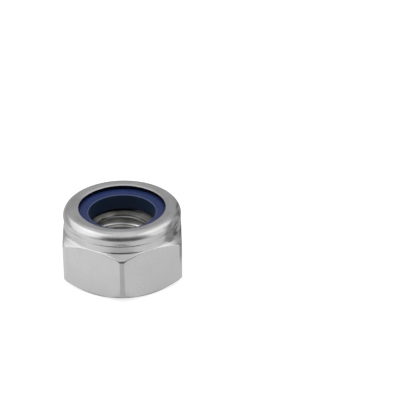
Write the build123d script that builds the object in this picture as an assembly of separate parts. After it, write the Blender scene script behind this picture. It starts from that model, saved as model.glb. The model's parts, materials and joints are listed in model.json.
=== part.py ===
"""Nylon insert lock nut for an M8 x 1.25 bolt, in two pieces.

nut_body is one piece of stainless steel: a hexagon with a tapped bore and, above it, a round
collar whose rim is rolled in over the insert. nylon_insert is the ring that the rolled lip
holds in the collar's pocket, and that grips the bolt's thread.

Lengths are in millimetres. The origin is the centre of the bearing face, +Z runs along the
thread towards the insert, and two corners of the hexagon point along Y. The thread's own
helix is finer than this model: the bore is at the thread's minor diameter.
"""
import os
from math import radians, sqrt, tan

from build123d import *

# Thread
thread_diameter = 8.0
thread_pitch = 1.25
mouth_clearance = 0.3            # how far both countersinks open past the thread, all round
countersink_angle = 30.0         # from level

# Hexagon
nut_height = 8.0
across_flats = 13.0
corner_radius = 0.55             # rounding of the six upright edges
bearing_face_diameter = 12.6
bearing_chamfer_angle = 35.0     # from level
top_chamfer_angle = 30.0         # from level

# Collar and its rolled lip
collar_height = 2.25             # from the hexagon's top chamfer to the crest of the lip
collar_diameter = 13.0
waist_depth = 0.05               # how far the straight foot of the collar is drawn in
waist_height = 0.8
crimp_line_width = 0.3           # shallow groove that the crimping die leaves above the waist
crimp_line_depth = 0.04
collar_wall = 0.85
shoulder_radius = 0.97           # outer rounding of the rolled lip
lip_fall_angle = 6.0             # slope of the lip's top, down towards the opening
lip_thickness = 0.5
lip_overlap = 0.805              # how far the lip reaches in over the insert
lip_edge_radius = 0.1

# Insert
insert_thickness = 1.92
insert_grip = 0.29               # how far its bore stands in from the thread's diameter
insert_chamfer = 0.3             # outer top edge, where the lip bends over it
insert_crown = 0.06              # bulge of its top inside the lip's opening
insert_rim_fall = 0.15           # how far its bore's rim lies below the lip's underside
insert_rim_radius = 0.12

# Sizes that follow
METRIC_THREAD_DEPTH = 5 * sqrt(3) / 16   # of the pitch, in the ISO metric thread form
major_radius = thread_diameter / 2
minor_radius = major_radius - METRIC_THREAD_DEPTH * thread_pitch
mouth_radius = major_radius + mouth_clearance
countersink_depth = (mouth_radius - minor_radius) * tan(radians(countersink_angle))
sharp_corner_radius = across_flats / sqrt(3)
bearing_radius = bearing_face_diameter / 2
collar_radius = collar_diameter / 2
waist_radius = collar_radius - waist_depth
pocket_radius = waist_radius - collar_wall
opening_radius = pocket_radius - lip_overlap
insert_bore_radius = major_radius - insert_grip
shoulder_height = nut_height - collar_height
crest_radius = collar_radius - shoulder_radius
lip_fall = (crest_radius - opening_radius) * tan(radians(lip_fall_angle))
lip_underside = nut_height - lip_fall - lip_thickness
pocket_floor = lip_underside - insert_thickness


def turned(face):
    """The solid that a face in the XZ plane sweeps about the thread's axis."""
    return revolve(Plane.XZ * face, Axis.Z)


def hexagon():
    """The hexagon, its upright edges rounded and its corners cut off by a chamfer at each end."""
    outline = RegularPolygon(across_flats / 2, 6, major_radius=False, rotation=30)
    prism = extrude(fillet(outline.vertices(), corner_radius), shoulder_height)
    bearing_rise = (sharp_corner_radius - bearing_radius) * tan(radians(bearing_chamfer_angle))
    top_fall = (sharp_corner_radius - waist_radius) * tan(radians(top_chamfer_angle))
    envelope = Polyline(
        (0, 0),
        (bearing_radius, 0),
        (sharp_corner_radius, bearing_rise),
        (sharp_corner_radius, shoulder_height - top_fall),
        (waist_radius, shoulder_height),
        (0, shoulder_height),
        close=True,
    )
    return prism & turned(make_face(envelope))


def collar():
    """The collar's outside: straight waist, crimp line, flare, rolled shoulder, sloping lip."""
    crimp_start = shoulder_height + waist_height
    crimp_end = crimp_start + crimp_line_width
    flare_end = nut_height - shoulder_radius
    roll = CenterArc((crest_radius, flare_end), shoulder_radius, 0, 90 + lip_fall_angle)
    slope_end = (0, (roll @ 1).Y - (roll @ 1).X * tan(radians(lip_fall_angle)))
    outline = (
        Polyline(slope_end, (0, pocket_floor), (waist_radius, pocket_floor), (waist_radius, crimp_start)),
        SagittaArc((waist_radius, crimp_start), (waist_radius, crimp_end), crimp_line_depth),
        Spline((waist_radius, crimp_end), (collar_radius, flare_end), tangents=((0, 1), (0, 1))),
        roll,
        Line(roll @ 1, slope_end),
    )
    return turned(make_face(outline))


def cavity():
    """What is turned out of the middle: both countersinks, the bore, the pocket, the opening."""
    outline = Polyline(
        (0, 0),
        (mouth_radius, 0),
        (minor_radius, countersink_depth),
        (minor_radius, pocket_floor - countersink_depth),
        (mouth_radius, pocket_floor),
        (pocket_radius, pocket_floor),
        (pocket_radius, lip_underside - insert_chamfer),
        (pocket_radius - insert_chamfer, lip_underside),
        (opening_radius, lip_underside),
        (opening_radius, nut_height),
        (0, nut_height),
        close=True,
    )
    return turned(make_face(outline))


def nut_body():
    """The steel body, with the upper edge of the lip's opening rounded."""
    body = hexagon() + collar() - cavity()
    circles = body.edges().filter_by(GeomType.CIRCLE)
    opening_edges = circles.sort_by(lambda edge: abs(edge.radius - opening_radius))[:2]
    return fillet(opening_edges.sort_by(Axis.Z)[-1], lip_edge_radius)


def nylon_insert():
    """The ring: flat seat, outer corner chamfered under the lip, crowned top, plain bore."""
    rim = (insert_bore_radius, lip_underside - insert_rim_fall)
    crown_edge = (opening_radius, lip_underside)
    outline = (
        Polyline(
            rim,
            (insert_bore_radius, pocket_floor),
            (pocket_radius, pocket_floor),
            (pocket_radius, lip_underside - insert_chamfer),
            (pocket_radius - insert_chamfer, lip_underside),
            crown_edge,
        ),
        SagittaArc(crown_edge, rim, -insert_crown),
    )
    section = make_face(outline)
    return turned(fillet(section.vertices().sort_by_distance(rim)[0], insert_rim_radius))


def main():
    """Write one STEP file for each of the two pieces."""
    os.makedirs("parts", exist_ok=True)
    export_step(nut_body(), "parts/nut_body.step")
    export_step(nylon_insert(), "parts/nylon_insert.step")


main()
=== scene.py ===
"""Nylon insert lock nut: a hexagon whose collar is rolled in over a blue nylon ring.

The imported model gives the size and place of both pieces. This script rebuilds them with the
forms that only the eye needs, such as the thread's helix and the rounding of every edge, gives
each surface its finish, and stands the nut on a pale floor in soft light.

Sections are drawn in millimetres, as a distance from the thread's axis and a height. Finished
meshes, the floor, the lights and the camera are in metres.
"""
import json
import logging
from dataclasses import dataclass, field
from enum import Enum
from math import atan2, ceil, cos, hypot, pi, radians, sin, tan, tau

import bmesh
import bpy
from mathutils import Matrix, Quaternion, Vector

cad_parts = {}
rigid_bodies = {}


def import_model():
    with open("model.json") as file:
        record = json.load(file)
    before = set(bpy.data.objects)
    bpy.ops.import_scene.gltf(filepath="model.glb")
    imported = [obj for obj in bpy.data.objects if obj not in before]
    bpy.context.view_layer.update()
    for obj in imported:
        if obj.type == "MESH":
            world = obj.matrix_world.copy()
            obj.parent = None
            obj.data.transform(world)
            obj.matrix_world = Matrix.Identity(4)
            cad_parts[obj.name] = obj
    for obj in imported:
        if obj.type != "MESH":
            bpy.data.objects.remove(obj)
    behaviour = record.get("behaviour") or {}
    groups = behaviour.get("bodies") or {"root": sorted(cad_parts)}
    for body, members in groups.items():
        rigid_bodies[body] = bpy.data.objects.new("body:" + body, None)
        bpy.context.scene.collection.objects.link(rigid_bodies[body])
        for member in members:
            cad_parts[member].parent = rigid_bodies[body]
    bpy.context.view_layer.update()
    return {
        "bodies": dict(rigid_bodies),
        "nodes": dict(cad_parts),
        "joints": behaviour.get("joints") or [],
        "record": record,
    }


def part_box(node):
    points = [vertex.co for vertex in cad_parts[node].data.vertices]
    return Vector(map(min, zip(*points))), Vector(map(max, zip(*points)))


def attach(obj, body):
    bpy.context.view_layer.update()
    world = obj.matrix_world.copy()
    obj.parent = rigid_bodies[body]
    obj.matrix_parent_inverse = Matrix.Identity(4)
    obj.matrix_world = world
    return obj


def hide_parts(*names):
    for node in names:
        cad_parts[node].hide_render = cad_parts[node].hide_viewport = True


MM = 0.001                       # metres in a millimetre
MERGE_DISTANCE = 0.0005          # mm, under which two vertices are one
SHARP_ANGLE = radians(38)        # faces that meet at more than this keep a crisp edge
SIDES = 6                        # flats of the hexagon
HALF_SIDE = pi / SIDES           # angle from the middle of a flat to a corner

# Indexes of a Mix node's two inputs and of its output, for each type of data
MIX_SOCKETS = {"FLOAT": (2, 3, 0), "VECTOR": (4, 5, 1), "RGBA": (6, 7, 2)}

Input = bpy.types.NodeSocket | Vector | tuple | float    # what a node's input takes

log = logging.getLogger("lock_nut")


class Zone(Enum):
    """How a steel surface was made, which decides its finish, or, for the lip's end face and the
    countersinks, the painted shade given to it. The value is its material's index.
    """

    TURNED = 0
    PRESSED = 1
    TAPPED = 2
    # the lip's end face, coloured near black: painted shade of the crevice over the ring
    SHEARED = 3
    # both countersinks and a margin past them, coloured darker: painted shade
    COUNTERSUNK = 4


class RingZone(Enum):
    """The parts of the nylon ring's skin, with a painted highlight on the bore's rim and painted shade in
    the bore. The value is its material's index.
    """

    MOULDED = 0
    # the rounded rim of the bore, with a lighter colour: painted highlight
    TRIMMED = 1
    # the wall of the bore, with a darker, greyer colour: painted shade
    BORED = 2


class Grain(Enum):
    """Which way the fine marks of a surface run."""

    AROUND = "rings about the thread's axis"
    UPRIGHT = "lines along the thread's axis"


@dataclass(frozen=True)
class Corner:
    """One corner of a section, in millimetres.

    rows divides the straight stretch that follows, as shares of its length, and zone is the
    finish from this corner to the next.
    """

    radius: float
    height: float
    rounding: float = 0.0
    facets: int = 5
    rows: tuple[float, ...] = ()
    zone: Zone | RingZone = Zone.TURNED


def arc_at(before: Vector, corner: Vector, after: Vector, rounding: float, facets: int) -> list[Vector]:
    """Round one corner of a section.

    Args:
        before: the corner ahead of it.
        corner: the corner itself.
        after: the corner that follows.
        rounding: radius of the arc.
        facets: number of straight pieces that the arc is made of.

    Returns:
        The points of the arc, from the side of `before` to the side of `after`.
    """
    back, ahead = (before - corner).normalized(), (after - corner).normalized()
    half = back.angle(ahead) / 2
    centre = corner + (back + ahead).normalized() * rounding / sin(half)
    start = corner + back * rounding / tan(half) - centre
    end = corner + ahead * rounding / tan(half) - centre
    first = atan2(start.y, start.x)
    sweep = (atan2(end.y, end.x) - first + pi) % tau - pi
    turns = (first + sweep * facet / facets for facet in range(facets + 1))
    return [centre + Vector((cos(turn), sin(turn))) * rounding for turn in turns]


def traced(corners: list[Corner]) -> tuple[list[Vector], list[Zone | RingZone]]:
    """Trace a section through its corners.

    Args:
        corners: the corners in order. The first and the last are never rounded.

    Returns:
        The section's points, and the zone that starts at each of them.
    """
    places = [Vector((corner.radius, corner.height)) for corner in corners]
    arcs = []
    for index, corner in enumerate(corners):
        if corner.rounding == 0 or index in (0, len(corners) - 1):
            arcs.append([places[index]])
        else:
            arcs.append(arc_at(*places[index - 1:index + 2], corner.rounding, corner.facets))
    points: list[Vector] = []
    zones: list[Zone | RingZone] = []
    for index, (corner, arc) in enumerate(zip(corners, arcs)):
        run = list(arc)
        if index + 1 < len(arcs):
            run += [arc[-1].lerp(arcs[index + 1][0], share) for share in corner.rows]
        points += run
        zones += [corner.zone] * len(run)
    return points, zones


def section_edges(
    bm: bmesh.types.BMesh, points: list[Vector], closed: bool
) -> list[bmesh.types.BMVert | bmesh.types.BMEdge]:
    """Draw a section in the XZ plane.

    Args:
        bm: the mesh to draw in. Its "row" layer notes each vertex's place in the section.
        points: the section's points.
        closed: whether the last point joins the first.

    Returns:
        The new vertices and edges.
    """
    row = bm.verts.layers.int.get("row") or bm.verts.layers.int.new("row")
    verts = [bm.verts.new((point.x, 0.0, point.y)) for point in points]
    for index, vert in enumerate(verts):
        vert[row] = index
    ahead = verts[1:] + verts[:1] if closed else verts[1:]
    return verts + [bm.edges.new(pair) for pair in zip(verts, ahead)]


def cut_level(bm: bmesh.types.BMesh, height: float, dropped: int = 0) -> None:
    """Cut a mesh through level.

    Args:
        bm: the mesh.
        height: where the cut lies.
        dropped: -1 drops what lies below the cut, 1 what lies above it, and 0 keeps both.
    """
    bmesh.ops.bisect_plane(
        bm, geom=bm.verts[:] + bm.edges[:] + bm.faces[:], dist=MERGE_DISTANCE,
        plane_co=(0, 0, height), plane_no=(0, 0, dropped or 1), clear_outer=bool(dropped),
    )


def paint(bm: bmesh.types.BMesh, zones: list[Zone | RingZone]) -> None:
    """Give each face of a turned section the material of the zone that it was drawn in.

    Args:
        bm: the mesh that the section was turned into.
        zones: the zone that starts at each of the section's points.
    """
    row = bm.verts.layers.int["row"]
    for face in bm.faces:
        face.material_index = zones[min(vert[row] for vert in face.verts)].value


def finished_mesh(name: str, bm: bmesh.types.BMesh) -> bpy.types.Object:
    """Close a mesh made in millimetres and put it in the scene in metres.

    Args:
        name: the piece's name.
        bm: its mesh, which is freed.

    Returns:
        The piece, with its object at the origin.
    """
    bmesh.ops.remove_doubles(bm, verts=bm.verts, dist=MERGE_DISTANCE)
    bmesh.ops.recalc_face_normals(bm, faces=bm.faces)
    for face in bm.faces:
        face.smooth = True
    for edge in bm.edges:
        edge.smooth = len(edge.link_faces) != 2 or edge.calc_face_angle() < SHARP_ANGLE
    open_edges = sum(not edge.is_manifold for edge in bm.edges)
    if open_edges:
        log.warning("%s: %d open edges", name, open_edges)
    bmesh.ops.scale(bm, vec=(MM, MM, MM), verts=bm.verts)
    mesh = bpy.data.meshes.new(name)
    bm.to_mesh(mesh)
    bm.free()
    piece = bpy.data.objects.new(name, mesh)
    bpy.context.scene.collection.objects.link(piece)
    return piece


def add_node(tree: bpy.types.NodeTree, kind: str, /, **settings: object) -> bpy.types.Node:
    """Add a node to a tree.

    Args:
        tree: a material's, world's or group's node tree.
        kind: the node's type.
        settings: its properties, or, for names that are inputs, a value or a socket to join. An
            underscore and a number stand for the input of that index, and any other underscore
            for a space in the input's name.

    Returns:
        The new node.
    """
    node = tree.nodes.new(kind)
    inputs = {}
    for key, value in settings.items():
        if hasattr(node, key):
            setattr(node, key, value)
        else:
            inputs[key] = value
    for key, value in inputs.items():
        socket = node.inputs[int(key[1:]) if key[0] == "_" else key.replace("_", " ")]
        if isinstance(value, bpy.types.NodeSocket):
            tree.links.new(value, socket)
        else:
            socket.default_value = value
    return node


def math_node(tree: bpy.types.NodeTree, operation: str, *values: Input) -> bpy.types.NodeSocket:
    """Add a Math node and give its result."""
    settings = {f"_{index}": value for index, value in enumerate(values)}
    return add_node(tree, "ShaderNodeMath", operation=operation, **settings).outputs[0]


def vector_node(
    tree: bpy.types.NodeTree, operation: str, *values: Input, **settings: Input
) -> bpy.types.NodeSocket:
    """Add a Vector Math node.

    Args:
        tree: the tree to add it to.
        operation: what it works out.
        values: what it reads, in order.
        settings: further inputs by their names.

    Returns:
        The socket of its result, a number where the operation makes one.
    """
    settings |= {f"_{index}": value for index, value in enumerate(values)}
    node = add_node(tree, "ShaderNodeVectorMath", operation=operation, **settings)
    return node.outputs["Value" if operation in ("LENGTH", "DOT_PRODUCT") else "Vector"]


def mix_node(
    tree: bpy.types.NodeTree, data_type: str, factor: Input, first: Input, second: Input
) -> bpy.types.NodeSocket:
    """Add a Mix node.

    Args:
        tree: the tree to add it to.
        data_type: what it mixes.
        factor: share of the second input.
        first: the input that shows where the factor is 0.
        second: the input that shows where the factor is 1.

    Returns:
        The socket of its result.
    """
    first_index, second_index, result_index = MIX_SOCKETS[data_type]
    settings = {"_0": factor, f"_{first_index}": first, f"_{second_index}": second}
    return add_node(tree, "ShaderNodeMix", data_type=data_type, **settings).outputs[result_index]


def range_node(
    tree: bpy.types.NodeTree, value: bpy.types.NodeSocket, span: tuple[float, float],
    result: tuple[float, float] = (0.0, 1.0), interpolation: str = "SMOOTHSTEP",
) -> bpy.types.NodeSocket:
    """Add a Map Range node.

    Args:
        tree: the tree to add it to.
        value: what it reads.
        span: the two values between which the result changes.
        result: what it gives at each of them.
        interpolation: how it goes from one to the other.

    Returns:
        The socket of its result.
    """
    return add_node(
        tree, "ShaderNodeMapRange", interpolation_type=interpolation, Value=value,
        From_Min=span[0], From_Max=span[1], To_Min=result[0], To_Max=result[1],
    ).outputs[0]


def bump_node(
    tree: bpy.types.NodeTree, height: bpy.types.NodeSocket, depth: float, **settings: Input
) -> bpy.types.NodeSocket:
    """Add a Bump node for a relief of so many millimetres and give its normal."""
    return add_node(
        tree, "ShaderNodeBump", Height=height, Distance=depth * MM, Strength=1.0, **settings
    ).outputs[0]


def new_group(
    name: str, inputs: dict[str, tuple[str, float | None]], outputs: tuple[str, ...]
) -> tuple[bpy.types.NodeTree, bpy.types.Node, bpy.types.Node]:
    """Start a reusable shader group.

    Args:
        name: the group's name.
        inputs: each input's name, with its socket type and default.
        outputs: names of the values that it puts out.

    Returns:
        The group's tree, its input node and its output node.
    """
    tree = bpy.data.node_groups.new(name, "ShaderNodeTree")
    for label, (kind, default) in inputs.items():
        socket = tree.interface.new_socket(label, in_out="INPUT", socket_type=kind)
        if default is not None:
            socket.default_value = default
    for label in outputs:
        tree.interface.new_socket(label, in_out="OUTPUT", socket_type="NodeSocketFloat")
    return tree, tree.nodes.new("NodeGroupInput"), tree.nodes.new("NodeGroupOutput")


class ToolMarks:
    """Shader group: the fine lines that a lathe, die or tap leaves, slowly changing in strength."""

    line_detail: float = 3.0
    line_roughness: float = 0.6
    patch_scale: float = 1.3         # patches of weak and strong lines, for one swing of their drift
    patch_detail: float = 1.0
    tone_gain: float = 2.0           # brings the product of two masks back to the middle

    def __init__(self) -> None:
        """Build the group, for coordinates in metres."""
        inputs = {
            "Point": ("NodeSocketVector", None),
            "Around": ("NodeSocketFloat", 1.0),
            "Lines per mm": ("NodeSocketFloat", 8.0),
            "Drift per mm": ("NodeSocketFloat", 0.3),
        }
        self.tree, source, result = new_group("tool_marks", inputs, ("Height", "Tone"))
        tree, given = self.tree, source.outputs
        xyz = add_node(tree, "ShaderNodeSeparateXYZ", Vector=given["Point"]).outputs
        flat = add_node(tree, "ShaderNodeCombineXYZ", X=xyz[0], Y=xyz[1]).outputs[0]
        radius = vector_node(tree, "LENGTH", flat)
        rings = add_node(tree, "ShaderNodeCombineXYZ", X=radius, Y=xyz[2]).outputs[0]
        across = mix_node(tree, "VECTOR", given["Around"], flat, rings)
        density = math_node(tree, "DIVIDE", given["Lines per mm"], MM)
        drift = math_node(tree, "DIVIDE", given["Drift per mm"], MM)
        lines = vector_node(tree, "SCALE", across, Scale=density)
        slow = vector_node(tree, "SCALE", given["Point"], Scale=drift)
        marks = add_node(
            tree, "ShaderNodeTexNoise", Vector=vector_node(tree, "ADD", lines, slow), Scale=1.0,
            Detail=self.line_detail, Roughness=self.line_roughness,
        ).outputs["Fac"]
        patches = add_node(
            tree, "ShaderNodeTexNoise", Vector=slow, Scale=self.patch_scale, Detail=self.patch_detail
        ).outputs["Fac"]
        tone = math_node(tree, "MULTIPLY", math_node(tree, "MULTIPLY", marks, patches), self.tone_gain)
        tree.links.new(marks, result.inputs["Height"])
        tree.links.new(tone, result.inputs["Tone"])


class SurfaceGrain:
    """Shader group: the even, fine unevenness of a tumbled metal or a moulded plastic surface."""

    grain_detail: float = 4.0
    cloud_detail: float = 3.0

    def __init__(self) -> None:
        """Build the group, for coordinates in metres."""
        inputs = {
            "Point": ("NodeSocketVector", None),
            "Grains per mm": ("NodeSocketFloat", 6.0),
            "Clouds per mm": ("NodeSocketFloat", 0.4),
        }
        self.tree, source, result = new_group("surface_grain", inputs, ("Height", "Tone"))
        self.add_noise(source.outputs, "Grains per mm", self.grain_detail, result.inputs["Height"])
        self.add_noise(source.outputs, "Clouds per mm", self.cloud_detail, result.inputs["Tone"])

    def add_noise(
        self, given: bpy.types.bpy_prop_collection, rate: str, detail: float, result: bpy.types.NodeSocket
    ) -> None:
        """Join a noise to one of the group's outputs.

        Args:
            given: the group's inputs.
            rate: name of the input that says how fine the noise is.
            detail: how many finer layers it has.
            result: the output's socket.
        """
        scale = math_node(self.tree, "DIVIDE", given[rate], MM)
        noise = add_node(self.tree, "ShaderNodeTexNoise", Vector=given["Point"], Scale=scale, Detail=detail)
        self.tree.links.new(noise.outputs["Fac"], result)


@dataclass(frozen=True)
class Palette:
    """The shader groups that the finishes share."""

    marks: ToolMarks = field(default_factory=ToolMarks)
    grain: SurfaceGrain = field(default_factory=SurfaceGrain)


@dataclass(frozen=True)
class Finish:
    """What every finish has: a colour and a roughness that change over the surface."""

    name: str
    colour: tuple[float, float, float] = (0.5, 0.5, 0.5)
    shade: float = 0.1               # share by which the colour varies to each side
    roughness: tuple[float, float] = (0.2, 0.32)

    def started(self) -> tuple[bpy.types.Material, bpy.types.Node, bpy.types.NodeSocket]:
        """Start the material.

        Returns:
            The material, its shader, and the Object coordinates of the point that is shaded.
        """
        material = bpy.data.materials.new(self.name)
        material.use_nodes = True
        nodes = material.node_tree.nodes
        return material, nodes["Principled BSDF"], nodes.new("ShaderNodeTexCoord").outputs["Object"]

    def vary(self, shader: bpy.types.Node, tone: bpy.types.NodeSocket, cloud: bpy.types.NodeSocket) -> None:
        """Let the colour follow one mask and the roughness another.

        Args:
            shader: the material's shader.
            tone: the mask that the colour follows.
            cloud: the mask that the roughness follows.
        """
        tree = shader.id_data
        darker = (*(channel * (1 - self.shade) for channel in self.colour), 1.0)
        lighter = (*(channel * (1 + self.shade) for channel in self.colour), 1.0)
        tree.links.new(mix_node(tree, "RGBA", tone, darker, lighter), shader.inputs["Base Color"])
        roughness = range_node(tree, cloud, (0.0, 1.0), self.roughness, "LINEAR")
        tree.links.new(roughness, shader.inputs["Roughness"])


@dataclass(frozen=True)
class SteelFinish(Finish):
    """Bare stainless steel, with the marks of the tool that made the surface."""

    grain: Grain = Grain.AROUND
    tone_span: tuple[float, float] = (0.6, 1.4)      # of the summed masks, darkest and lightest
    lines_per_mm: float = 9.0
    mark_depth: float = 0.0012       # mm
    dent_depth: float = 0.0008       # mm
    waves_per_mm: float = 0.4
    wave_depth: float = 0.0          # mm

    def material(self, palette: Palette) -> bpy.types.Material:
        """Make the material.

        Args:
            palette: the shader groups to use.

        Returns:
            A node material that reads Object coordinates.
        """
        material, shader, point = self.started()
        tree = material.node_tree
        shader.inputs["Metallic"].default_value = 1.0
        marks = add_node(
            tree, "ShaderNodeGroup", node_tree=palette.marks.tree, Point=point,
            Around=float(self.grain is Grain.AROUND), Lines_per_mm=self.lines_per_mm,
        ).outputs
        grain = add_node(tree, "ShaderNodeGroup", node_tree=palette.grain.tree, Point=point).outputs
        waves = add_node(
            tree, "ShaderNodeGroup", node_tree=palette.grain.tree, Point=point,
            Grains_per_mm=self.waves_per_mm,
        ).outputs
        masks = math_node(tree, "ADD", marks["Tone"], grain["Tone"])
        tone = range_node(tree, masks, self.tone_span, interpolation="LINEAR")
        self.vary(shader, tone, grain["Tone"])
        waved = bump_node(tree, waves["Height"], self.wave_depth)
        dented = bump_node(tree, grain["Height"], self.dent_depth, Normal=waved)
        scored = bump_node(tree, marks["Height"], self.mark_depth, Normal=dented)
        tree.links.new(scored, shader.inputs["Normal"])
        return material


@dataclass(frozen=True)
class NylonFinish(Finish):
    """Moulded blue nylon with a satin skin."""

    colour: tuple[float, float, float] = (0.015, 0.031, 0.12)
    shade: float = 0.2
    roughness: tuple[float, float] = (0.22, 0.34)
    ior: float = 1.53
    specular: float = 0.15
    grains_per_mm: float = 4.0
    dent_depth: float = 0.0015       # mm

    def material(self, palette: Palette) -> bpy.types.Material:
        """Make the material.

        Args:
            palette: the shader groups to use.

        Returns:
            A node material that reads Object coordinates.
        """
        material, shader, point = self.started()
        tree = material.node_tree
        shader.inputs["IOR"].default_value = self.ior
        shader.inputs["Specular IOR Level"].default_value = self.specular
        grain = add_node(
            tree, "ShaderNodeGroup", node_tree=palette.grain.tree, Point=point,
            Grains_per_mm=self.grains_per_mm,
        ).outputs
        self.vary(shader, grain["Tone"], grain["Tone"])
        tree.links.new(bump_node(tree, grain["Height"], self.dent_depth), shader.inputs["Normal"])
        return material


STEEL: dict[Zone, SteelFinish] = {
    Zone.TURNED: SteelFinish("rolled_steel", wave_depth=0.03),
    Zone.PRESSED: SteelFinish(
        "pressed_steel", shade=0.03, grain=Grain.UPRIGHT, mark_depth=0.0002, dent_depth=0.0001
    ),
    Zone.TAPPED: SteelFinish(
        "tapped_steel", colour=(0.43, 0.43, 0.42), shade=0.45, roughness=(0.24, 0.38),
        lines_per_mm=4.0, mark_depth=0.004, dent_depth=0.001,
    ),
    # near black: painted shade on the lip's end face, in the crevice over the ring
    Zone.SHEARED: SteelFinish(
        "shaded_lip_end_steel", colour=(0.018, 0.018, 0.02), roughness=(0.4, 0.55), grain=Grain.UPRIGHT
    ),
    # darker colour: painted shade of the countersinks, deep under the ring and at the bearing face
    Zone.COUNTERSUNK: SteelFinish(
        "shaded_countersink_steel", colour=(0.105, 0.105, 0.1), shade=0.6, roughness=(0.27, 0.42),
        lines_per_mm=3.0, mark_depth=0.008, dent_depth=0.001,
    ),
}
NYLON: dict[RingZone, NylonFinish] = {
    RingZone.MOULDED: NylonFinish("blue_nylon"),
    # lighter colour: painted highlight along the bore's rim; its lower roughness is real
    RingZone.TRIMMED: NylonFinish("rim_highlight_nylon", colour=(0.075, 0.105, 0.2), roughness=(0.15, 0.25)),
    # darker, greyer colour: painted shade inside the ring's bore
    RingZone.BORED: NylonFinish("shaded_bore_nylon", colour=(0.013, 0.026, 0.055), roughness=(0.3, 0.42)),
}


@dataclass
class Hexagon:
    """The wrenching part: six flats, rounded upright edges, and a chamfer at each end."""

    across_flats: float
    shoulder_height: float
    waist_radius: float
    edge_facet: float = 0.5          # width of the facet that the upright edges are worn to
    facet_rounding: float = 0.12
    bearing_radius: float = 6.3
    bearing_chamfer: float = radians(35)
    top_chamfer: float = radians(30)
    foot_rounding: float = 0.1       # at the rim of the bearing face
    bearing_rounding: float = 0.3    # where the bearing chamfer meets the flats
    edge_rounding: float = 0.26      # where the top chamfer meets the flats
    corner_rounding: float = 0.45    # and where it meets the hexagon's corners, which wear more
    corner_wear: int = 6             # power that gathers this wear at the corners
    root_rounding: float = 0.38      # where the top chamfer meets the collar
    chamfer_limit: float = 0.55      # the most of the chamfer's slope that its outer rounding takes
    root_limit: float = 0.4          # and the most that the rounding at the collar takes
    face_rows: tuple[float, ...] = (0.5, 0.92)       # rows of faces, as shares of each stretch
    bearing_rows: tuple[float, ...] = (0.25, 0.75)
    flat_rows: tuple[float, ...] = (0.02, 0.1, 0.5, 0.9, 0.98)
    chamfer_rows: tuple[float, ...] = (0.15, 0.85)
    waist_rows: tuple[float, ...] = (0.2, 0.8)
    flat_columns: int = 18           # columns of faces from the middle of a flat to its end
    bend_columns: int = 4            # and round the bend to the facet
    facet_columns: tuple[float, ...] = (0.5,)        # and where half of the facet is divided

    @property
    def columns(self) -> int:
        """Columns of faces all the way round."""
        return 2 * SIDES * (len(self.plan()) - 1)

    def plan(self) -> list[Vector]:
        """Trace the hexagon from above, from the middle of a flat to the middle of an edge's facet.

        Returns:
            Points as seen from above, the first of them on +X.
        """
        flat = self.across_flats / 2
        towards = Vector((cos(HALF_SIDE), sin(HALF_SIDE)))
        along = Vector((sin(HALF_SIDE), -cos(HALF_SIDE)))
        middle = towards * (flat / cos(HALF_SIDE) - self.edge_facet / 2 * tan(HALF_SIDE))
        bend = middle + along * self.edge_facet / 2
        shares = tuple(column / self.flat_columns for column in range(1, self.flat_columns))
        corners = [
            Corner(flat, 0.0, rows=shares),
            Corner(*bend, self.facet_rounding, self.bend_columns, self.facet_columns),
            Corner(*middle),
        ]
        return traced(corners)[0]

    def gathered(self, column: int) -> tuple[float, float]:
        """Place one column, gathered towards the upright edges.

        Args:
            column: its number, counted from the middle of the flat that faces +X.

        Returns:
            The column's angle about the axis, and how far out the hexagon reaches there.
        """
        plan = self.plan()
        per_half = len(plan) - 1
        sector, place = divmod(column + per_half, 2 * per_half)
        point = plan[abs(place - per_half)]
        side = -1 if place < per_half else 1
        return sector * 2 * HALF_SIDE + side * atan2(point.y, point.x), point.length

    def chamfer_rounding(self, reach: float) -> float:
        """Round the top chamfer's lower edge, more worn towards the hexagon's corners.

        Args:
            reach: distance from the axis to the flat or rounded edge.

        Returns:
            The radius of the rounding.
        """
        flat = self.across_flats / 2
        share = (reach - flat) / (self.plan()[-1].length - flat)
        return self.edge_rounding + (self.corner_rounding - self.edge_rounding) * share ** self.corner_wear

    def corners(self, inner_radius: float, reach: float) -> list[Corner]:
        """Draw the hexagon's outside where it reaches a given distance from the axis.

        Args:
            inner_radius: where the section starts on the bearing face.
            reach: distance from the axis to the flat or rounded edge.

        Returns:
            Corners from the bearing face up to the foot of the collar.
        """
        bearing_rise = (reach - self.bearing_radius) * tan(self.bearing_chamfer)
        chamfer_width = reach - self.waist_radius
        flat_end = self.shoulder_height - chamfer_width * tan(self.top_chamfer)
        turn = pi / 2 - self.top_chamfer
        widest = chamfer_width / cos(self.top_chamfer) / tan(turn / 2)
        rounding = min(self.chamfer_rounding(reach), self.chamfer_limit * widest)
        root = min(self.root_rounding, self.root_limit * widest)
        return [
            Corner(inner_radius, 0.0, rows=self.face_rows),
            Corner(self.bearing_radius, 0.0, self.foot_rounding, rows=self.bearing_rows),
            Corner(reach, bearing_rise, self.bearing_rounding, rows=self.flat_rows, zone=Zone.PRESSED),
            Corner(reach, flat_end, rounding, rows=self.chamfer_rows),
            Corner(self.waist_radius, self.shoulder_height, root, rows=self.waist_rows),
        ]


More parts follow.
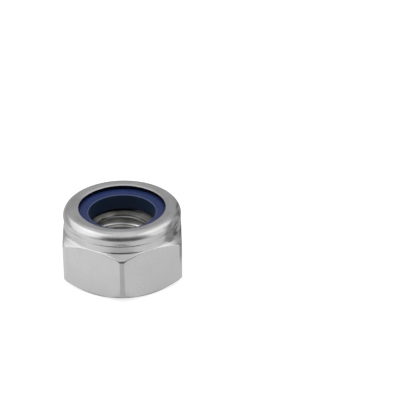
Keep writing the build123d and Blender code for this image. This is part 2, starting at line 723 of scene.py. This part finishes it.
@dataclass
class Collar:
    """The round collar, rolled in at its top over the insert, and the pocket inside it."""

    height: float
    radius: float
    pocket_radius: float
    pocket_floor: float
    rise: float = 2.25               # from the hexagon's top chamfer to the crest of the lip
    waist_depth: float = 0.05
    waist_height: float = 0.73
    crimp_line_width: float = 0.36
    crimp_line_depth: float = 0.045
    roll_radius: float = 0.97
    lip_fall: float = radians(6)
    lip_thickness: float = 0.5
    lip_overlap: float = 0.805
    lip_bend_width: float = 0.2      # strip along the opening that the die bent down further
    lip_bend: float = radians(17)
    lip_bend_rounding: float = 0.15
    lip_edge_rounding: float = 0.05
    lip_edge_margin: float = 0.01    # bright steel below that rounding, where the end face's painted shade starts
    under_edge_rounding: float = 0.04
    pocket_chamfer: float = 0.3
    roll_facets: int = 28
    edge_facets: int = 7             # of the lip's upper edge
    bend_facets: int = 3             # of the lip's other roundings
    lip_rows: tuple[float, ...] = (0.2, 0.5, 0.8)
    end_rows: tuple[float, ...] = (0.1, 0.5, 0.9)
    under_rows: tuple[float, ...] = (0.5,)
    crimp_steps: int = 8
    flare_steps: int = 4

    @property
    def shoulder_height(self) -> float:
        """Height of the collar's foot, where the hexagon's top chamfer ends."""
        return self.height - self.rise

    @property
    def waist_radius(self) -> float:
        """Radius of the straight foot of the collar."""
        return self.radius - self.waist_depth

    @property
    def crest_radius(self) -> float:
        """Radius at which the rolled shoulder is highest."""
        return self.radius - self.roll_radius

    @property
    def opening_radius(self) -> float:
        """Radius of the opening inside the rolled lip."""
        return self.pocket_radius - self.lip_overlap

    @property
    def lip_underside(self) -> float:
        """Height of the lip's flat underside, which holds the insert down."""
        fall = (self.crest_radius - self.opening_radius) * tan(self.lip_fall)
        return self.height - fall - self.lip_thickness

    @property
    def bend_radius(self) -> float:
        """Radius at which the strip that is bent down further starts."""
        return self.opening_radius + self.lip_bend_width

    @property
    def lip_edge_height(self) -> float:
        """Height of the lip's edge, past the strip that is bent down further."""
        return self.lip_height(self.bend_radius) - self.lip_bend_width * tan(self.lip_bend)

    @property
    def lip_end_start(self) -> float:
        """Height at which the lip's sheared end, coloured with painted shade, starts under its rounded
        edge.
        """
        return self.lip_edge_height - self.lip_edge_rounding - self.lip_edge_margin

    def lip_height(self, radius: float) -> float:
        """Height of the lip's sloping top, carried on to any radius."""
        top = self.height - self.roll_radius + self.roll_radius / cos(self.lip_fall)
        return top + (radius - self.crest_radius) * tan(self.lip_fall)

    def crimp_line(self) -> list[Corner]:
        """Draw the shallow groove that the crimping die leaves, as a smooth dip in the waist.

        Returns:
            Its corners, from the lowest up.
        """
        start = self.shoulder_height + self.waist_height
        shares = [step / self.crimp_steps for step in range(self.crimp_steps + 1)]
        dips = [self.crimp_line_depth * (1 - cos(tau * share)) / 2 for share in shares]
        return [
            Corner(self.waist_radius - dip, start + share * self.crimp_line_width)
            for share, dip in zip(shares, dips)
        ]

    def flare(self) -> list[Corner]:
        """Draw the smooth swelling from the crimp line out to the full radius, where the roll starts.

        Returns:
            The corners between its two ends, from the lowest up.
        """
        start = self.shoulder_height + self.waist_height + self.crimp_line_width
        end = self.height - self.roll_radius
        shares = [step / self.flare_steps for step in range(1, self.flare_steps)]
        swellings = [self.waist_depth * (3 - 2 * share) * share ** 2 for share in shares]
        return [
            Corner(self.waist_radius + swelling, start + share * (end - start))
            for share, swelling in zip(shares, swellings)
        ]

    def corners(self, inner_radius: float) -> list[Corner]:
        """Draw the collar from its crimp line, over the lip and down into the pocket.

        Args:
            inner_radius: where the section ends on the pocket's floor.

        Returns:
            Corners that follow those of the hexagon.
        """
        opening, pocket, underside = self.opening_radius, self.pocket_radius, self.lip_underside
        crest, bend = self.lip_height(self.radius), self.lip_height(self.bend_radius)
        # the lip's end face gets the near black steel of painted shade
        under, sheared = self.under_edge_rounding, Zone.SHEARED
        return [
            *self.crimp_line(),
            *self.flare(),
            Corner(self.radius, crest, self.roll_radius, self.roll_facets, self.lip_rows),
            Corner(self.bend_radius, bend, self.lip_bend_rounding, self.bend_facets),
            Corner(opening, self.lip_edge_height, self.lip_edge_rounding, self.edge_facets),
            Corner(opening, self.lip_end_start, rows=self.end_rows, zone=sheared),
            Corner(opening, underside, under, self.bend_facets, self.under_rows, sheared),
            Corner(pocket - self.pocket_chamfer, underside),
            Corner(pocket, underside - self.pocket_chamfer),
            Corner(pocket, self.pocket_floor),
            Corner(inner_radius, self.pocket_floor),
        ]


@dataclass
class Thread:
    """The tapped thread, between a countersink at the bearing face and one at the pocket."""

    minor_radius: float
    high: float                      # height of the pocket's floor, where the bore ends
    diameter: float = 8.0
    pitch: float = 1.25
    flank_angle: float = radians(30)     # from level
    mouth_clearance: float = 0.3
    countersink: float = radians(30)
    countersink_margin: float = 0.15     # how far its painted shade, darker steel, reaches past the cone
    crest_rounding: float = 0.07
    root_rounding: float = 0.12
    crest_facets: int = 2
    root_facets: int = 3
    flank_rows: tuple[float, ...] = (0.33, 0.67)
    crest_height: float = 3.56       # where a crest passes the back of the bore, at +Y
    steps_per_turn: int = 216

    @property
    def mouth_radius(self) -> float:
        """Radius at which both countersinks open."""
        return self.diameter / 2 + self.mouth_clearance

    @property
    def countersink_depth(self) -> float:
        """Depth of each countersink, down to the crests."""
        return (self.mouth_radius - self.minor_radius) * tan(self.countersink)

    def corners(self) -> list[Corner]:
        """Draw one pitch of the thread's form: half a crest, flank, root, flank, half a crest.

        Returns:
            Its corners, from the lowest up.
        """
        major = self.diameter / 2
        half_crest = self.pitch / 8
        root_start = half_crest + (major - self.minor_radius) * tan(self.flank_angle)
        crest = (self.crest_rounding, self.crest_facets)
        root = (self.root_rounding, self.root_facets)
        return [
            Corner(self.minor_radius, 0.0),
            Corner(self.minor_radius, half_crest, *crest, self.flank_rows),
            Corner(major, root_start, *root),
            Corner(major, self.pitch - root_start, *root, self.flank_rows),
            Corner(self.minor_radius, self.pitch - half_crest, *crest),
            Corner(self.minor_radius, self.pitch),
        ]

    def cone_radius(self, height: float) -> float:
        """How far out the nearer countersink reaches at a height."""
        depth = min(height, self.high - height)
        return self.mouth_radius - depth / tan(self.countersink)

    def helix(self, bm: bmesh.types.BMesh) -> None:
        """Wind the thread's form round the axis, past both ends of the bore.

        Args:
            bm: an empty mesh, which gets the helix.
        """
        form, _ = traced(self.corners())
        turns = ceil(self.high / self.pitch) + 2
        seam_crest = self.crest_height - self.pitch / 4      # the same crest at +X, a quarter turn before
        start = seam_crest - self.pitch * ceil(seam_crest / self.pitch + 1)
        lifts = [Vector((0.0, start + self.pitch * turn)) for turn in range(turns)]
        points = [form[0] + lifts[0]] + [point + lift for lift in lifts for point in form[1:]]
        geom = section_edges(bm, points, closed=False)
        rise = Vector((0.0, 0.0, self.pitch / self.steps_per_turn))
        bmesh.ops.spin(bm, geom=geom, axis=(0, 0, 1), angle=tau, steps=self.steps_per_turn, dvec=rise)
        bmesh.ops.remove_doubles(bm, verts=bm.verts, dist=MERGE_DISTANCE)

    def build(self, bm: bmesh.types.BMesh) -> None:
        """Cut the thread: a helix through the bore, ended by the two countersinks.

        Args:
            bm: an empty mesh, which gets the bore's wall, open at both ends.
        """
        self.helix(bm)
        cut_level(bm, 0.0, dropped=-1)
        cut_level(bm, self.high, dropped=1)
        for vert in bm.verts:
            radius = hypot(vert.co.x, vert.co.y)
            vert.co.xy *= max(radius, self.cone_radius(vert.co.z)) / radius
        depth = self.countersink_depth + self.countersink_margin
        for height in (depth, self.high - depth):
            cut_level(bm, height)
        # faces within the countersinks' depth and margin get the darker steel of painted shade
        for face in bm.faces:
            height = face.calc_center_median().z
            countersunk = min(height, self.high - height) < depth
            face.material_index = (Zone.COUNTERSUNK if countersunk else Zone.TAPPED).value


@dataclass
class NutBody:
    """The steel body: hexagon, collar and tapped bore, one watertight piece."""

    hexagon: Hexagon
    collar: Collar
    thread: Thread
    seam_width: float = 0.15         # flat ring that joins each end of the bore to the rest

    def section(self, reach: float) -> tuple[list[Vector], list[Zone | RingZone]]:
        """The body's outside, from the bearing face over the lip to the pocket's floor."""
        inner_radius = self.thread.mouth_radius + self.seam_width
        return traced([*self.hexagon.corners(inner_radius, reach), *self.collar.corners(inner_radius)])

    def turn_outside(self, bm: bmesh.types.BMesh) -> None:
        """Spin the outside, then set each column back to where the hexagon reaches.

        Args:
            bm: an empty mesh, which gets the outside, open at the bore.
        """
        count = self.hexagon.columns
        columns = [self.hexagon.gathered(column) for column in range(count)]
        sections = [self.section(reach)[0] for _, reach in columns]
        geom = section_edges(bm, sections[0], closed=False)
        bmesh.ops.spin(bm, geom=geom, axis=(0, 0, 1), angle=tau, steps=count, use_merge=True)
        row = bm.verts.layers.int["row"]
        for vert in bm.verts:
            column = round(atan2(vert.co.y, vert.co.x) / tau * count) % count
            angle, (radius, height) = columns[column][0], sections[column][vert[row]]
            vert.co = (radius * cos(angle), radius * sin(angle), height)
        paint(bm, self.section(self.hexagon.across_flats / 2)[1])

    def join_bore(self, bm: bmesh.types.BMesh, height: float) -> None:
        """Fill the flat ring between the bore's wall and the outside, where both end at one height.

        Args:
            bm: the mesh that holds both.
            height: where both end.
        """
        rims = [
            edge for edge in bm.edges
            if edge.is_boundary and all(abs(vert.co.z - height) < MERGE_DISTANCE for vert in edge.verts)
        ]
        bmesh.ops.triangle_fill(bm, edges=rims, use_beauty=True, normal=(0, 0, 1))

    def build(self, name: str) -> bpy.types.Object:
        """Make the body.

        Args:
            name: the piece's name.

        Returns:
            The piece, without materials.
        """
        bm = bmesh.new()
        self.thread.build(bm)
        bore = bpy.data.meshes.new("bore")
        bm.to_mesh(bore)
        bm.free()
        bm = bmesh.new()
        self.turn_outside(bm)
        bm.from_mesh(bore)
        bpy.data.meshes.remove(bore)
        self.join_bore(bm, 0.0)
        self.join_bore(bm, self.thread.high)
        return finished_mesh(name, bm)

    def dress(self, piece: bpy.types.Object, palette: Palette) -> None:
        """Give each zone of the finished body its steel, made with the palette's groups."""
        for zone in Zone:
            piece.data.materials.append(STEEL[zone].material(palette))


@dataclass
class InsertRing:
    """The nylon ring, pressed round by the lip and crowned inside the lip's opening."""

    bore_radius: float
    outer_radius: float
    low: float
    lip_underside: float
    opening_radius: float
    outer_chamfer: float = 0.3
    crown: float = 0.06
    rim_fall: float = 0.15
    rim_rounding: float = 0.1
    foot_rounding: float = 0.06
    seat_gap: float = 0.004          # keeps the ring's faces off the steel that it touches
    rim_facets: int = 7
    foot_facets: int = 4
    bore_rows: tuple[float, ...] = (0.05, 0.35, 0.65, 0.95)
    under_rows: tuple[float, ...] = (0.5,)
    columns: int = 256
    crown_rows: int = 12

    def crowned(self) -> list[Corner]:
        """Draw the bulge of the top, from the bore's rim up to the lip's opening.

        Returns:
            The corners between its two ends, from the inside out.
        """
        rim = self.lip_underside - self.rim_fall
        width = self.opening_radius - self.bore_radius
        shares = [step / self.crown_rows for step in range(1, self.crown_rows)]
        heights = [
            rim + share * self.rim_fall + 4 * self.crown * share * (1 - share) for share in shares
        ]
        return [
            Corner(self.bore_radius + share * width, height, zone=RingZone.MOULDED)
            for share, height in zip(shares, heights)
        ]

    def corners(self) -> list[Corner]:
        """Draw the ring from its bore's foot up, over the crown and down its outside.

        Returns:
            The corners all the way round its section.
        """
        bore, foot, moulded = self.bore_radius, self.low, RingZone.MOULDED
        rim = self.lip_underside - self.rim_fall
        top = self.lip_underside - self.seat_gap
        outside = self.outer_radius - self.seat_gap
        return [
            Corner((bore + outside) / 2, foot, zone=moulded),
            # the bore gets the painted shade, its rounded rim the painted highlight
            Corner(bore, foot, self.foot_rounding, self.foot_facets, self.bore_rows, RingZone.BORED),
            Corner(bore, rim, self.rim_rounding, self.rim_facets, zone=RingZone.TRIMMED),
            *self.crowned(),
            Corner(self.opening_radius, top, rows=self.under_rows, zone=moulded),
            Corner(outside - self.outer_chamfer, top, zone=moulded),
            Corner(outside, top - self.outer_chamfer, zone=moulded),
            Corner(outside, foot, zone=moulded),
        ]

    def build(self, name: str) -> bpy.types.Object:
        """Make the ring.

        Args:
            name: the piece's name.

        Returns:
            The piece, without materials.
        """
        bm = bmesh.new()
        points, zones = traced(self.corners())
        geom = section_edges(bm, points, closed=True)
        bmesh.ops.spin(bm, geom=geom, axis=(0, 0, 1), angle=tau, steps=self.columns, use_merge=True)
        paint(bm, zones)
        return finished_mesh(name, bm)

    def dress(self, piece: bpy.types.Object, palette: Palette) -> None:
        """Give each zone of the finished ring its nylon, made with the palette's groups."""
        for zone in RingZone:
            piece.data.materials.append(NYLON[zone].material(palette))


@dataclass
class LockNut:
    """The whole nut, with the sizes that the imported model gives."""

    body: NutBody
    ring: InsertRing

    @classmethod
    def from_frame(cls, frame: dict) -> "LockNut":
        """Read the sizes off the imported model.


        Returns:
            The nut, ready to build.
        """
        low, high = (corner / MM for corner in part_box("nut_body"))
        ring_low, ring_high = (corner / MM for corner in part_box("nylon_insert"))
        mounts = {mount["name"]: mount["dims"] for mount in frame["record"]["mounts"]}
        collar = Collar(height=high.z, radius=high.x, pocket_radius=ring_high.x, pocket_floor=ring_low.z)
        hexagon = Hexagon(high.x - low.x, collar.shoulder_height, collar.waist_radius)
        thread = Thread(minor_radius=mounts["thread"]["r_mm"], high=ring_low.z)
        ring = InsertRing(
            bore_radius=mounts["insert_bore"]["r_mm"],
            outer_radius=ring_high.x,
            low=ring_low.z,
            lip_underside=collar.lip_underside,
            opening_radius=collar.opening_radius,
        )
        return cls(NutBody(hexagon, collar, thread), ring)

    def build(self) -> tuple[bpy.types.Object, bpy.types.Object]:
        """Build both pieces, dress them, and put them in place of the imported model's.

        Returns:
            The steel body and the nylon ring.
        """
        palette = Palette()
        body = self.body.build("steel_body")
        self.body.dress(body, palette)
        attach(body, "root")
        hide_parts("nut_body")
        ring = self.ring.build("insert_ring")
        self.ring.dress(ring, palette)
        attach(ring, "root")
        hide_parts("nylon_insert")
        return body, ring


def direction(azimuth: float, elevation: float) -> Vector:
    """Point from the nut to a place round it.

    Args:
        azimuth: degrees from -Y, where the camera is, towards +X.
        elevation: degrees above the floor.

    Returns:
        The unit vector.
    """
    turn, rise = radians(azimuth), radians(elevation)
    return Vector((sin(turn) * cos(rise), -cos(turn) * cos(rise), sin(rise)))


def cosines(spread: tuple[float, float]) -> tuple[float, float]:
    """The cosines of two angles in degrees, the wider one first, for a mask round a direction."""
    narrow, wide = spread
    return cos(radians(wide)), cos(radians(narrow))


def emptied(owner: bpy.types.Material | bpy.types.World) -> bpy.types.NodeTree:
    """Give a new material or world its node tree.

    Args:
        owner: the material or world.

    Returns:
        The tree, without any nodes.
    """
    owner.use_nodes = True
    owner.node_tree.nodes.clear()
    return owner.node_tree


@dataclass(frozen=True)
class SoftBox:
    """A soft light that faces the nut."""

    name: str
    azimuth: float                   # degrees from -Y towards +X
    elevation: float                 # degrees
    size: tuple[float, float]        # width and height, metres
    brightness: float                # radiance of its face
    roll: float = 0.0                # degrees that its top leans over, seen from the nut
    distance: float = 0.4            # metres

    def place(self) -> None:
        """Put the light in the scene."""
        data = bpy.data.lights.new(self.name, "AREA")
        data.shape = "RECTANGLE"
        data.size, data.size_y = self.size
        data.energy = self.brightness * pi * self.size[0] * self.size[1]
        light = bpy.data.objects.new(self.name, data)
        towards = direction(self.azimuth, self.elevation)
        light.location = towards * self.distance
        turned = towards.to_track_quat("Z", "Y") @ Quaternion((0.0, 0.0, 1.0), radians(self.roll))
        light.rotation_euler = turned.to_euler()
        light.visible_camera = False
        bpy.context.scene.collection.objects.link(light)


@dataclass(frozen=True)
class Card:
    """An upright grey card on the floor, which shows only as a reflection in the steel."""

    name: str
    azimuth: float                   # degrees from -Y towards +X
    distance: float                  # metres
    size: tuple[float, float]        # width and height, metres
    brightness: tuple[float, float]  # of its dark and of its light bands
    bands_per_m: tuple[float, float] = (600.0, 160.0)    # across and up the card
    band_edge: tuple[float, float] = (0.4, 0.6)      # of the noise, end of the dark and start of the light

    def place(self) -> None:
        """Put the card in the scene."""
        bm = bmesh.new()
        bmesh.ops.create_grid(bm, x_segments=1, y_segments=1, size=0.5)      # half a side, for one metre
        bmesh.ops.scale(bm, vec=(*self.size, 1.0), verts=bm.verts)
        mesh = bpy.data.meshes.new(self.name)
        bm.to_mesh(mesh)
        bm.free()
        mesh.materials.append(self.material())
        card = bpy.data.objects.new(self.name, mesh)
        towards = direction(self.azimuth, 0.0)
        card.location = towards * self.distance + Vector((0.0, 0.0, self.size[1] / 2))
        card.rotation_euler = towards.to_track_quat("Z", "Y").to_euler()
        card.visible_camera = card.visible_diffuse = card.visible_shadow = False
        bpy.context.scene.collection.objects.link(card)

    def material(self) -> bpy.types.Material:
        """Make the card's glow, in soft dark and light bands.

        Returns:
            A node material that reads Object coordinates.
        """
        material = bpy.data.materials.new(self.name)
        tree = emptied(material)
        place = tree.nodes.new("ShaderNodeTexCoord").outputs["Object"]
        spread = vector_node(tree, "MULTIPLY", place, (*self.bands_per_m, 1.0))
        bands = add_node(tree, "ShaderNodeTexNoise", Vector=spread, Scale=1.0, Detail=1.0).outputs[0]
        strength = range_node(tree, bands, self.band_edge, self.brightness)
        glow = add_node(tree, "ShaderNodeEmission", Strength=strength).outputs[0]
        add_node(tree, "ShaderNodeOutputMaterial", Surface=glow)
        return material


@dataclass(frozen=True)
class Floor:
    """A round pale floor that shows white and takes the nut's shadow, clear from below.

    The steel mirrors it less bright than it shows, through a glow that only reflections see, and dimmer
    still, as painted shade, on the right, behind the nut and in a wedge in front of it, and as a painted
    shadow in a ring under the bearing face. Lengths are in metres.
    """

    radius: float = 0.12
    segments: int = 128
    gap: float = 5e-6                # keeps it off the bearing face
    albedo: float = 0.45
    lift: float = 0.75               # light that brings the floor up to white where it is seen
    mirrored_lift: float = 0.66      # and where the steel mirrors it
    sides: tuple[float, float] = (1.0, 0.8)              # share of that light on the left and on the right, less on the right as painted shade
    sides_span: tuple[float, float] = (-0.012, 0.012)
    back: float = 0.25               # share of it behind the nut, lower as painted shade
    back_span: tuple[float, float] = (0.0, 0.014)
    front: float = 0.5               # share of it in the wedge in front, lower as painted shade
    front_apex: tuple[float, float, float] = (0.0, -0.004, 0.0)
    front_spread: tuple[float, float] = (13.0, 31.0)     # degrees to each side, all dark and all light
    under: float = 0.3               # share of it under the bearing face, lower as a painted shadow
    under_radius: float = 5.35e-3
    under_spread: tuple[float, float] = (1.05e-3, 1.65e-3)   # to each side, all dark and all light

    def place(self) -> None:
        """Put the floor in the scene."""
        bm = bmesh.new()
        bmesh.ops.create_circle(bm, cap_ends=True, segments=self.segments, radius=self.radius)
        mesh = bpy.data.meshes.new("floor")
        bm.to_mesh(mesh)
        bm.free()
        mesh.materials.append(self.material())
        floor = bpy.data.objects.new("floor", mesh)
        floor.location.z = -self.gap
        bpy.context.scene.collection.objects.link(floor)

    def material(self) -> bpy.types.Material:
        """Make the floor's matt surface, which glows and lets the camera look through from below.

        Returns:
            A node material that reads Object coordinates.
        """
        material = bpy.data.materials.new("pale_floor")
        tree = emptied(material)
        ray = tree.nodes.new("ShaderNodeLightPath").outputs
        albedo = (self.albedo, self.albedo, self.albedo, 1.0)
        matt = add_node(tree, "ShaderNodeBsdfDiffuse", Color=albedo).outputs[0]
        seen = math_node(tree, "MULTIPLY", ray["Is Camera Ray"], self.lift)
        mirrored = math_node(tree, "MULTIPLY", ray["Is Glossy Ray"], self.mirrored(tree))
        strength = math_node(tree, "ADD", seen, mirrored)
        glow = add_node(tree, "ShaderNodeEmission", Strength=strength).outputs[0]
        both = add_node(tree, "ShaderNodeAddShader", _0=matt, _1=glow).outputs[0]
        below = tree.nodes.new("ShaderNodeNewGeometry").outputs["Backfacing"]
        clear = math_node(tree, "MULTIPLY", ray["Is Camera Ray"], below)
        through = add_node(tree, "ShaderNodeBsdfTransparent", Color=(1.0, 1.0, 1.0, 1.0)).outputs[0]
        surface = add_node(tree, "ShaderNodeMixShader", _0=clear, _1=both, _2=through).outputs[0]
        add_node(tree, "ShaderNodeOutputMaterial", Surface=surface)
        return material

    def mirrored(self, tree: bpy.types.NodeTree) -> bpy.types.NodeSocket:
        """Work out how bright the steel mirrors each place of the floor, dimmed by painted shade and a
        painted shadow.

        Args:
            tree: the floor's node tree.

        Returns:
            The socket of the strength.
        """
        place = tree.nodes.new("ShaderNodeTexCoord").outputs["Object"]
        xyz = add_node(tree, "ShaderNodeSeparateXYZ", Vector=place).outputs
        side = range_node(tree, xyz[0], self.sides_span, self.sides)
        back = range_node(tree, xyz[1], self.back_span, (1.0, self.back))
        away = vector_node(tree, "NORMALIZE", vector_node(tree, "SUBTRACT", place, self.front_apex))
        ahead = vector_node(tree, "DOT_PRODUCT", away, direction(0.0, 0.0))
        front = range_node(tree, ahead, cosines(self.front_spread), (1.0, self.front))
        from_ring = math_node(tree, "SUBTRACT", vector_node(tree, "LENGTH", place), self.under_radius)
        off_ring = math_node(tree, "ABSOLUTE", from_ring)
        under = range_node(tree, off_ring, self.under_spread, (self.under, 1.0))
        strength = math_node(tree, "MULTIPLY", side, self.mirrored_lift)
        for share in (back, front, under):
            strength = math_node(tree, "MULTIPLY", strength, share)
        return strength


@dataclass(frozen=True)
class Room:
    """The room: white to the camera, and to the nut darker on the camera's side than behind."""

    back: float = 0.65               # brightness behind the nut
    top: float = 1.2                 # and overhead
    front: float = 0.125             # and on the camera's side
    rise_span: tuple[float, float] = (0.52, 0.93)        # sines of the elevations between back and top
    front_azimuth: float = 1.0       # degrees
    front_elevation: float = 10.0    # degrees
    front_spread: tuple[float, float] = (27.0, 45.0)     # degrees, from all dark to all light

    def place(self) -> None:
        """Make the world that lights the scene."""
        world = bpy.data.worlds.new("studio")
        bpy.context.scene.world = world
        tree = emptied(world)
        towards = tree.nodes.new("ShaderNodeTexCoord").outputs["Generated"]
        rise = add_node(tree, "ShaderNodeSeparateXYZ", Vector=towards).outputs[2]
        room = range_node(tree, rise, self.rise_span, (self.back, self.top))
        front = direction(self.front_azimuth, self.front_elevation)
        nearness = vector_node(tree, "DOT_PRODUCT", towards, front)
        darkness = range_node(tree, nearness, cosines(self.front_spread))
        shaded = mix_node(tree, "FLOAT", darkness, room, self.front)
        seen = tree.nodes.new("ShaderNodeLightPath").outputs["Is Camera Ray"]
        strength = mix_node(tree, "FLOAT", seen, shaded, 1.0)
        background = add_node(tree, "ShaderNodeBackground", Strength=strength).outputs[0]
        add_node(tree, "ShaderNodeOutputWorld", Surface=background)


@dataclass(frozen=True)
class Camera:
    """The camera, which looks at the nut from the photographed side."""

    location: tuple[float, float, float] = (3.827e-3, -151.928e-3, 94.413e-3)    # metres
    tilt: float = radians(60.543)    # from straight down
    turn: float = radians(-1.79)
    lens: float = 143.17             # mm
    sensor: float = 36.0             # mm

    def place(self) -> None:
        """Put the camera in the scene and make it the scene's own."""
        data = bpy.data.cameras.new("camera")
        data.sensor_width = self.sensor
        data.lens = self.lens
        camera = bpy.data.objects.new("camera", data)
        camera.location = self.location
        camera.rotation_euler = (self.tilt, 0.0, self.turn)
        bpy.context.scene.collection.objects.link(camera)
        bpy.context.scene.camera = camera


@dataclass(frozen=True)
class Studio:
    """The pale floor, the soft light round the nut, and the camera."""

    floor: Floor = Floor()
    room: Room = Room()
    left_softbox: SoftBox = SoftBox(
        "left_softbox", azimuth=-84.0, elevation=32.0, size=(0.54, 0.52), brightness=1.05, roll=30.0
    )
    right_softbox: SoftBox = SoftBox(
        "right_softbox", azimuth=84.0, elevation=33.0, size=(0.42, 0.54), brightness=0.84, roll=-14.0
    )
    side_card: Card = Card(
        "side_card", azimuth=105.0, distance=0.0105, size=(0.015, 0.011), brightness=(0.12, 0.6)
    )
    camera: Camera = Camera()

    def set_up(self) -> None:
        """Build the studio."""
        things = (self.floor, self.room, self.left_softbox, self.right_softbox, self.side_card, self.camera)
        for thing in things:
            thing.place()
        bpy.context.scene.view_settings.view_transform = "Standard"


def main() -> None:
    """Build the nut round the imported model, in its studio, and report its pieces."""
    logging.basicConfig(level=logging.INFO, format="%(name)s: %(message)s")
    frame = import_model()
    for piece in LockNut.from_frame(frame).build():
        log.info("%s: %d faces", piece.name, len(piece.data.polygons))
    Studio().set_up()


if __name__ == "__main__":
    main()
